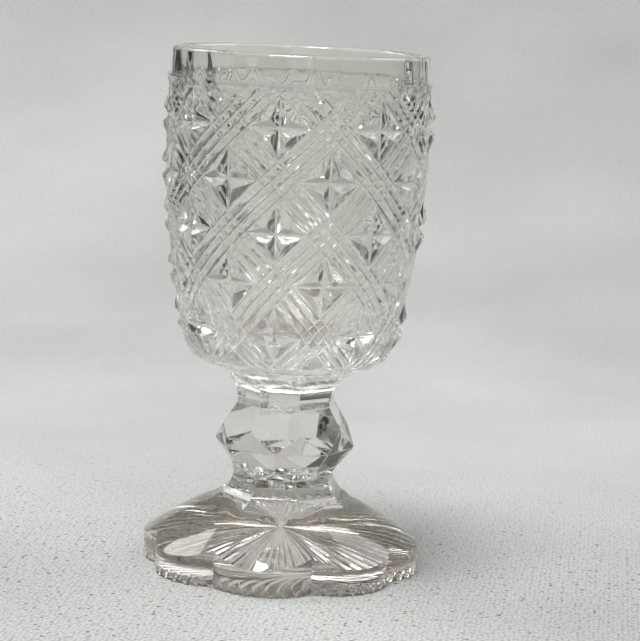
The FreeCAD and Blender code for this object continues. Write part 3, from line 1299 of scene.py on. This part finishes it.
@dataclass
class Foot(GlassPart):
    """Thick low dome with eight round lobes at its edge and a fan of rays under each.

    The rays are grooves that rise from the underside and run open through the edge. The shares
    say where the rings of points lie: out along the dome, down the edge and in along the underside.
    """

    name: str = "rayed_foot"
    node: str = "foot"
    finish: GlassFinish = GlassFinish("clear_foot_glass", (0.94, 0.90, 0.85))
    seat_corner_radius: float = 13.3
    lobe_radius: float = 27.5
    notch_radius: float = 24.7
    rays: int = 8
    ray_depth: float = 1.6
    fan_share: float = 0.93
    ray_shape: tuple[tuple[float, float], ...] = (
        (-0.44, 0.0), (-0.40, 0.06), (-0.22, 0.48), (-0.05, 0.94), (0.0, 1.0),
        (0.05, 0.94), (0.22, 0.48), (0.40, 0.06), (0.44, 0.0),
    )
    dome: tuple[tuple[float, float], ...] = (
        (16.0, 12.3), (20.0, 10.2), (24.0, 7.7), (27.6, 5.0),
    )
    seat_rings: int = 7
    seat_sag: float = 0.35
    dome_shares: tuple[float, ...] = (
        0.10, 0.20, 0.30, 0.40, 0.49, 0.57, 0.65, 0.72, 0.78, 0.83, 0.87,
        0.905, 0.935, 0.955, 0.972, 0.984, 0.993, 1.0,
    )
    wall_shares: tuple[float, ...] = (0.25, 0.5, 0.75, 1.0)
    wall_end: float = 0.22
    corner_rings: tuple[tuple[float, float], ...] = ((0.06, 0.06), (0.22, 0.0))
    under_shares: tuple[float, ...] = (0.96, 0.85, 0.7, 0.55, 0.4, 0.28, 0.18, 0.1, 0.05, 0.02)
    ray_run_out: float = 1.15
    smooth_degrees: float = 32.0

    def edge_radius(self, turn: float) -> float:
        """Distance from the axis to the scalloped edge in a direction.

        Args:
            turn: Direction in half sides.

        Returns:
            The distance.
        """
        centre, arc = self._lobe()
        offset = ((turn + 1) % 2 - 1) * HALF_SIDE
        return centre * math.cos(offset) + math.sqrt(max(arc**2 - (centre * math.sin(offset)) ** 2, 0.0))

    def _lobe(self) -> tuple[float, float]:
        """Works out the arc of a lobe.

        Returns:
            How far from the axis the arc is centred, and its radius.
        """
        chord = 2 * self.notch_radius * math.sin(HALF_SIDE)
        rise = self.lobe_radius - self.notch_radius * math.cos(HALF_SIDE)
        arc = chord**2 / (8 * rise) + rise / 2
        return self.lobe_radius - arc, arc

    def _wall_normal(self, lobe: int, turn: float) -> Vec:
        """Outward direction of the edge at a turn within a lobe.

        Args:
            lobe: Which lobe.
            turn: Direction in half sides.

        Returns:
            The normal.
        """
        centre, _ = self._lobe()
        middle = around(centre, 2 * lobe, 0.0)
        point = around(self.edge_radius(turn), turn, 0.0)
        return unit((point[0] - middle[0], point[1] - middle[1], 0.0))

    def _turns(self) -> list[tuple[float, float]]:
        """Places the columns of points across a lobe.

        Returns:
            Each column's turn within the lobe, and how deep its ray is there, 0 to 1.
        """
        pitch = 2.0 * self.fan_share / self.rays
        columns = [(-1.0, 0.0)]
        for ray in range(self.rays):
            middle = -self.fan_share + pitch * (ray + 0.5)
            columns += [(middle + across * pitch, depth) for across, depth in self.ray_shape]
        return columns

    def _top_rings(self, turns: Sequence[float], seat: float) -> list[list[Vec]]:
        """The rings from the joint with the stem out to the edge.

        Args:
            turns: Directions of the columns.
            seat: Height of the joint.

        Returns:
            The points of each ring.
        """
        dome = SmoothProfile(self.dome)
        radii, heights = dome.line[:, 0], dome.line[:, 1]
        blend_r = self.dome[0][0]
        drop = seat - float(np.interp(blend_r, radii, heights))
        rings: list[list[Vec]] = []
        for share in np.linspace(0.0, 1.0, self.seat_rings):
            z = seat - drop * ((1 + self.seat_sag) * share - self.seat_sag * share**2)
            starts = [octagon(self.seat_corner_radius, turn) for turn in turns]
            rings.append([around(r + (blend_r - r) * share, turn, z) for r, turn in zip(starts, turns)])
        for share in self.dome_shares:
            out = [blend_r + (self.edge_radius(turn) - blend_r) * share for turn in turns]
            rings.append([around(r, turn, float(np.interp(r, radii, heights))) for r, turn in zip(out, turns)])
        return rings

    def mesh(self) -> MeshDraft:
        """Builds the closed surface.

        Returns:
            The draft.
        """
        draft = MeshDraft()
        low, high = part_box(self.node)
        ground = low.z / MM
        columns = [(2 * k + t, d, k) for k in range(SIDES) for t, d in self._turns()]
        turns = [turn for turn, _, _ in columns]
        rims = [self.edge_radius(turn) for turn in turns]
        lows = [ground + self.ray_depth * deep for _, deep, _ in columns]
        rings = self._top_rings(turns, high.z / MM)
        top_rows = len(rings) - 1
        tops = [place[2] for place in rings[-1]]
        for share in self.wall_shares:
            rings.append([
                around(rim, turn, top + (bottom + self.wall_end - top) * share)
                for rim, turn, top, bottom in zip(rims, turns, tops, lows)
            ])
        wall_last = len(rings) - 1
        for back, lift in self.corner_rings:
            rings.append([
                around(rim - back, turn, bottom + lift) for rim, turn, bottom in zip(rims, turns, lows)
            ])
        for share in self.under_shares:
            deep_share = min(1.0, share * self.ray_run_out)
            rings.append([
                around(rim * share, turn, ground + (bottom - ground) * deep_share)
                for rim, turn, bottom in zip(rims, turns, lows)
            ])
        numbers = [[draft.point(place) for place in ring] for ring in rings]
        count = len(columns)
        for i in range(len(rings) - 1):
            for k in range(count):
                m = (k + 1) % count
                corners = [numbers[i + 1][k], numbers[i + 1][m], numbers[i][m], numbers[i][k]]
                if top_rows <= i < wall_last:
                    right = turns[m] if m else 2.0 * SIDES - 1.0
                    lobe = columns[k][2]
                    near = self._wall_normal(lobe, turns[k] + NEAR)
                    far = self._wall_normal(lobe, right - NEAR)
                    draft.face(corners, [near, far, far, near])
                else:
                    draft.face(corners, self._flat(rings, i, k, m))
        draft.face(numbers[0], [(0.0, 0.0, 1.0)] * count, Skin.JOINT)
        draft.face(numbers[-1][::-1], [(0.0, 0.0, -1.0)] * count)
        self._smooth(draft)
        return draft

    @staticmethod
    def _flat(rings: Sequence[Sequence[Vec]], i: int, k: int, m: int) -> list[Vec]:
        """Works out a face's own normal.

        Args:
            rings: The points of each ring.
            i: The ring above the face.
            k: The column at its left.
            m: The column at its right.

        Returns:
            The normal, once for each corner.
        """
        a, b, c, d = (Vector(p) for p in (rings[i + 1][k], rings[i + 1][m], rings[i][m], rings[i][k]))
        normal = (c - a).cross(d - b)
        return [tuple(normal)] * 4

    def _smooth(self, draft: MeshDraft) -> None:
        """Shares normals between neighbouring faces that meet at a shallow angle.

        Args:
            draft: The mesh, whose normals are changed in place.
        """
        fan: dict[int, list[tuple[int, int]]] = {}
        for f, face in enumerate(draft.faces):
            if draft.skins[f] == int(Skin.JOINT):
                continue
            for i, corner in enumerate(face):
                fan.setdefault(corner, []).append((f, i))
        limit = math.cos(math.radians(self.smooth_degrees))
        fixed = [list(n) for n in draft.normals]
        for uses in fan.values():
            for f, i in uses:
                mine = Vector(draft.normals[f][i])
                total = Vector((0.0, 0.0, 0.0))
                for g, j in uses:
                    other = Vector(draft.normals[g][j])
                    if mine.dot(other) >= limit:
                        total += other
                fixed[f][i] = unit(total)
        draft.normals = fixed


# ---------------------------------------------------------------------------
# Surroundings


@dataclass
class Stage:
    """Narrow sheet of pale cloth that lies under the glass and sweeps up behind it.

    Sizes are in metres. The cloth lies a hair below the foot, so that the two do not flicker.
    """

    finish: ClothFinish = ClothFinish()
    half_width: float = 0.27
    front: float = -0.9
    middle: float = -0.3
    bend_start: float = 0.22
    bend_radius: float = 0.40
    bend_steps: int = 32
    top: float = 0.95
    sink: float = 0.0001

    def build(self) -> bpy.types.Object:
        """Makes the sheet.

        Returns:
            The floor object.
        """
        line = [(self.front, 0.0), (self.middle, 0.0), (self.bend_start, 0.0)]
        for k in range(1, self.bend_steps + 1):
            angle = math.pi / 2 * k / self.bend_steps
            line.append((
                self.bend_start + self.bend_radius * math.sin(angle),
                self.bend_radius * (1 - math.cos(angle)),
            ))
        line.append((self.bend_start + self.bend_radius, self.top))
        points = [(side * self.half_width, y, z) for y, z in line for side in (-1, 1)]
        faces = [(2 * k, 2 * k + 1, 2 * k + 3, 2 * k + 2) for k in range(len(line) - 1)]
        mesh = bpy.data.meshes.new("floor")
        mesh.from_pydata(points, [], faces)
        mesh.polygons.foreach_set("use_smooth", [True] * len(faces))
        mesh.materials.append(self.finish.material())
        floor = bpy.data.objects.new("floor", mesh)
        floor.location.z = -self.sink
        bpy.context.scene.collection.objects.link(floor)
        return floor


@dataclass(frozen=True)
class Lamp:
    """A square soft lamp: where it hangs, what it points at and its side, in metres, and its watts."""

    name: str
    place: Vec
    target: Vec
    size: float
    watts: float

    def build(self) -> None:
        """Hangs the lamp."""
        data = bpy.data.lights.new(self.name, "AREA")
        data.size = self.size
        data.energy = self.watts
        lamp = bpy.data.objects.new(self.name, data)
        lamp.location = self.place
        lamp.rotation_euler = (Vector(self.target) - Vector(self.place)).to_track_quat("-Z", "Y").to_euler()
        bpy.context.scene.collection.objects.link(lamp)


@dataclass
class Studio:
    """A dim room with one bright overhead panel and a weak soft window at each side.

    The room is dark below and in front and grows paler upwards and, by back_share, to the back.
    """

    lamps: tuple[Lamp, ...] = (
        Lamp("panel_above", (-0.08, -0.20, 0.93), (0.0, 0.0, 0.06), 0.30, 7.5),
        Lamp("window_left", (-0.75, 0.35, 0.75), (0.0, 0.1, 0.05), 0.45, 3.2),
        Lamp("window_right", (0.55, 0.50, 0.78), (0.0, 0.05, 0.05), 0.50, 1.9),
    )
    back_share: float = 0.35
    dark_stop: float = 0.24
    dark_tone: Vec = (0.028, 0.027, 0.025)
    pale_stop: float = 0.95
    pale_tone: Vec = (0.32, 0.325, 0.33)

    def build(self) -> None:
        """Makes the world and the lamps."""
        world = bpy.data.worlds.new("soft_room")
        bpy.context.scene.world = world
        world.use_nodes = True
        tree = world.node_tree
        nodes, links = tree.nodes, tree.links
        back = nodes["Background"]
        place = nodes.new("ShaderNodeTexCoord")
        parts = nodes.new("ShaderNodeSeparateXYZ")
        links.new(place.outputs["Generated"], parts.inputs["Vector"])
        lift = nodes.new("ShaderNodeMath")
        lift.operation = "MULTIPLY_ADD"
        lift.inputs[1].default_value = self.back_share
        links.new(parts.outputs["Y"], lift.inputs[0])
        links.new(parts.outputs["Z"], lift.inputs[2])
        ramp = nodes.new("ShaderNodeValToRGB")
        links.new(lift.outputs[0], ramp.inputs["Fac"])
        stops = ramp.color_ramp.elements
        stops[0].position, stops[0].color = self.dark_stop, (*self.dark_tone, 1)
        stops[1].position, stops[1].color = self.pale_stop, (*self.pale_tone, 1)
        links.new(ramp.outputs["Color"], back.inputs["Color"])
        back.inputs["Strength"].default_value = 1.0
        for lamp in self.lamps:
            lamp.build()


@dataclass
class View:
    """The camera: a long lens a little above the rim, held slightly tilted.

    The sensor and the lens are in millimetres, the rest in metres and radians.
    """

    distance: float = 0.4413
    height: float = 0.1195
    turn: float = math.radians(7.84)
    pitch: float = math.radians(9.06)
    yaw: float = math.radians(0.77)
    roll: float = math.radians(2.69)
    sensor: float = 36.0
    lens: float = 127.4625

    def build(self) -> bpy.types.Object:
        """Makes the camera and gives it to the scene.

        Returns:
            The camera object.
        """
        data = bpy.data.cameras.new("camera")
        data.sensor_fit = "HORIZONTAL"
        data.sensor_width = self.sensor
        data.lens = self.lens
        data.clip_start = 0.01
        data.clip_end = 50.0
        camera = bpy.data.objects.new("camera", data)
        ahead = Vector((
            math.sin(self.yaw) * math.cos(self.pitch),
            math.cos(self.yaw) * math.cos(self.pitch),
            -math.sin(self.pitch),
        ))
        right = ahead.cross(Vector((0, 0, 1))).normalized()
        up = right.cross(ahead)
        tilted_right = right * math.cos(self.roll) + up * math.sin(self.roll)
        tilted_up = up * math.cos(self.roll) - right * math.sin(self.roll)
        axes = Matrix((tilted_right, tilted_up, -ahead)).transposed().to_4x4()
        swing = Matrix.Rotation(self.turn, 4, "Z")
        camera.matrix_world = swing @ Matrix.Translation((0, -self.distance, self.height)) @ axes
        bpy.context.scene.collection.objects.link(camera)
        bpy.context.scene.camera = camera
        return camera


# ---------------------------------------------------------------------------
# The whole scene


def let_light_through(scene: bpy.types.Scene) -> None:
    """Allows light enough bounces to pass through all the walls of the glass.

    Args:
        scene: The scene.
    """
    scene.view_settings.view_transform = "Standard"
    scene.cycles.max_bounces = 24
    scene.cycles.transmission_bounces = 24
    scene.cycles.glossy_bounces = 12
    scene.cycles.transparent_max_bounces = 32


def main() -> None:
    """Builds the pieces, the surroundings and the camera."""
    logging.basicConfig(level=logging.INFO, format="%(name)s %(message)s")
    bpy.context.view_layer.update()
    for part in (Bowl(), Collar.neck(), Knop(), Collar.flare(), Foot()):
        piece = part.make()
        LOG.info("%s: %d faces", piece.name, len(piece.data.polygons))
    Stage().build()
    Studio().build()
    View().build()
    let_light_through(bpy.context.scene)


if __name__ == "__main__":
    main()
